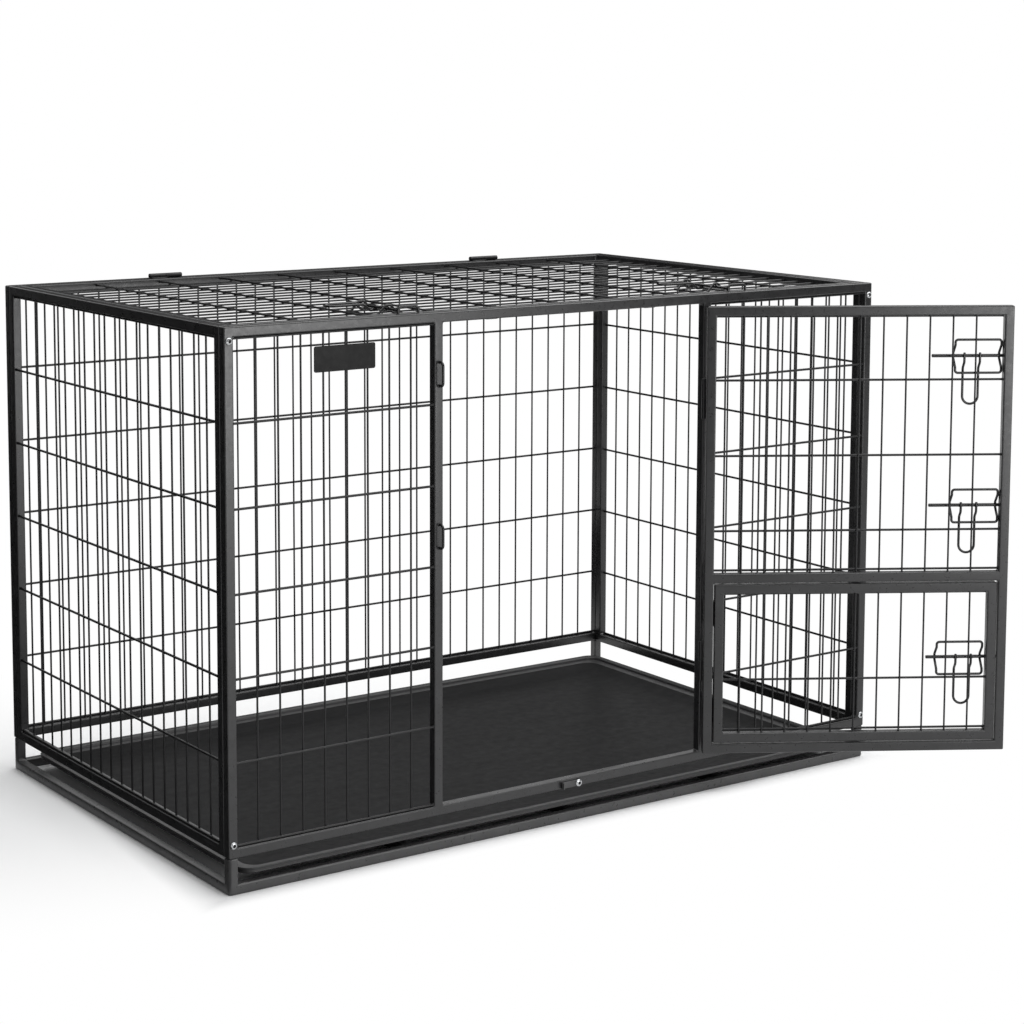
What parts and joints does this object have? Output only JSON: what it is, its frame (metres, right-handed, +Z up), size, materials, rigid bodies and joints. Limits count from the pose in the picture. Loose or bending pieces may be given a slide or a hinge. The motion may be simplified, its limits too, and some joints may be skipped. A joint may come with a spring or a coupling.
{
  "type": "wire dog crate",
  "caption": "Square-tube and wire dog crate with a hinged front door, a small feed door inside it, a hinged lid, a sliding tray, wire slide bolts and a turning tray lock.",
  "frame": {"origin": "on the floor, under the middle of the crate, on the underside of the base's middle bar", "axes": "+X right along the front, +Y towards the back, +Z up; the main door stands open as pictured"},
  "size_m": [1.2777, 1.023, 0.828],
  "materials": {
    "black_powder_coat": "satin black powder coat",
    "tray_black": "fine-grained black moulding",
    "zinc": "bright zinc plate",
    "plate_black": "plain black plate"
  },
  "bodies": {
    "crate": {"base_frame": "black_powder_coat", "panel_locating_pins": "black_powder_coat", "front_panel_frame": "black_powder_coat", "back_panel_frame": "black_powder_coat", "left_panel_frame": "black_powder_coat", "right_panel_frame": "black_powder_coat", "front_left_wires": "black_powder_coat", "front_right_wires": "black_powder_coat", "back_panel_wires": "black_powder_coat", "left_panel_wires": "black_powder_coat", "right_panel_wires": "black_powder_coat", "name_plate": "plate_black", "name_plate_clip": "black_powder_coat", "corner_screws": "zinc", "door_stop": "black_powder_coat", "lid_stops": "black_powder_coat", "door_hinge_fixed_halves": "black_powder_coat", "door_hinge_pins": "black_powder_coat", "door_keepers": "black_powder_coat", "lid_hinge_fixed_halves": "black_powder_coat", "lid_hinge_pins": "black_powder_coat", "lid_keepers": "black_powder_coat", "tray_lock_screw": "zinc"},
    "door": {"door_frame": "black_powder_coat", "door_wires": "black_powder_coat", "door_hinge_moving_halves": "black_powder_coat", "door_bolt_guides": "black_powder_coat", "feed_hinge_fixed_halves": "black_powder_coat", "feed_hinge_pins": "black_powder_coat", "feed_keeper": "black_powder_coat"},
    "feed_door": {"feed_door_frame": "black_powder_coat", "feed_door_wires": "black_powder_coat", "feed_hinge_moving_halves": "black_powder_coat", "feed_bolt_guide": "black_powder_coat"},
    "lid": {"lid_frame": "black_powder_coat", "lid_wires": "black_powder_coat", "lid_hinge_moving_halves": "black_powder_coat", "lid_bolt_guides": "black_powder_coat"},
    "tray": {"tray": "tray_black"},
    "tray_lock": {"tray_lock_tab": "black_powder_coat"},
    "upper_bolt": {"upper_bolt_rod": "black_powder_coat"},
    "upper_lever": {"upper_bolt_handle": "black_powder_coat"},
    "lower_bolt": {"lower_bolt_rod": "black_powder_coat"},
    "lower_lever": {"lower_bolt_handle": "black_powder_coat"},
    "feed_bolt": {"feed_bolt_rod": "black_powder_coat"},
    "feed_lever": {"feed_bolt_handle": "black_powder_coat"},
    "lid_left_bolt": {"lid_left_bolt_rod": "black_powder_coat"},
    "lid_left_lever": {"lid_left_bolt_handle": "black_powder_coat"},
    "lid_right_bolt": {"lid_right_bolt_rod": "black_powder_coat"},
    "lid_right_lever": {"lid_right_bolt_handle": "black_powder_coat"}
  },
  "joints": [
    {"name": "door_swing", "type": "hinge", "parent": "crate", "child": "door", "pos_m": [0.246, -0.3765, 0.4], "axis": [0, 0, 1], "range_deg": [-148.6, 26]},
    {"name": "feed_swing", "type": "hinge", "parent": "door", "child": "feed_door", "pos_m": [0.26094, -0.38562, 0.2165], "axis": [0, 0, -1], "range_deg": [-30, 0]},
    {"name": "lid_swing", "type": "hinge", "parent": "crate", "child": "lid", "pos_m": [0, 0.356, 0.812], "axis": [-1, 0, 0], "range_deg": [0, 180]},
    {"name": "tray_slide", "type": "slide", "parent": "crate", "child": "tray", "axis": [0, -1, 0], "range_m": [0, 0.68]},
    {"name": "tray_lock_turn", "type": "hinge", "parent": "crate", "child": "tray_lock", "pos_m": [0.004, -0.3737, 0.059], "axis": [0, 1, 0], "range_deg": [-90, 0]},
    {"name": "upper_bolt_slide", "type": "slide", "parent": "door", "child": "upper_bolt", "axis": [0.8536, -0.521, 0], "range_m": [0, 0.027]},
    {"name": "upper_lever_lift", "type": "hinge", "parent": "upper_bolt", "child": "upper_lever", "pos_m": [0.61115, -0.59881, 0.709], "axis": [0.8536, -0.521, 0], "range_deg": [0, 90]},
    {"name": "lower_bolt_slide", "type": "slide", "parent": "door", "child": "lower_bolt", "axis": [0.8536, -0.521, 0], "range_m": [0, 0.027]},
    {"name": "lower_lever_lift", "type": "hinge", "parent": "lower_bolt", "child": "lower_lever", "pos_m": [0.61115, -0.59881, 0.468], "axis": [0.8536, -0.521, 0], "range_deg": [0, 90]},
    {"name": "feed_bolt_slide", "type": "slide", "parent": "feed_door", "child": "feed_bolt", "axis": [0.8536, -0.521, 0], "range_m": [-0.02, 0.012]},
    {"name": "feed_lever_lift", "type": "hinge", "parent": "feed_bolt", "child": "feed_lever", "pos_m": [0.60902, -0.5975, 0.22], "axis": [0.8536, -0.521, 0], "range_deg": [0, 90]},
    {"name": "lid_left_bolt_slide", "type": "slide", "parent": "lid", "child": "lid_left_bolt", "axis": [0, -1, 0], "range_m": [0, 0.027]},
    {"name": "lid_left_lever_lift", "type": "hinge", "parent": "lid_left_bolt", "child": "lid_left_lever", "pos_m": [-0.312, -0.276, 0.8125], "axis": [0, 1, 0], "range_deg": [0, 90]},
    {"name": "lid_right_bolt_slide", "type": "slide", "parent": "lid", "child": "lid_right_bolt", "axis": [0, -1, 0], "range_m": [0, 0.027]},
    {"name": "lid_right_lever_lift", "type": "hinge", "parent": "lid_right_bolt", "child": "lid_right_lever", "pos_m": [0.312, -0.276, 0.8125], "axis": [0, 1, 0], "range_deg": [0, 90]}
  ]
}
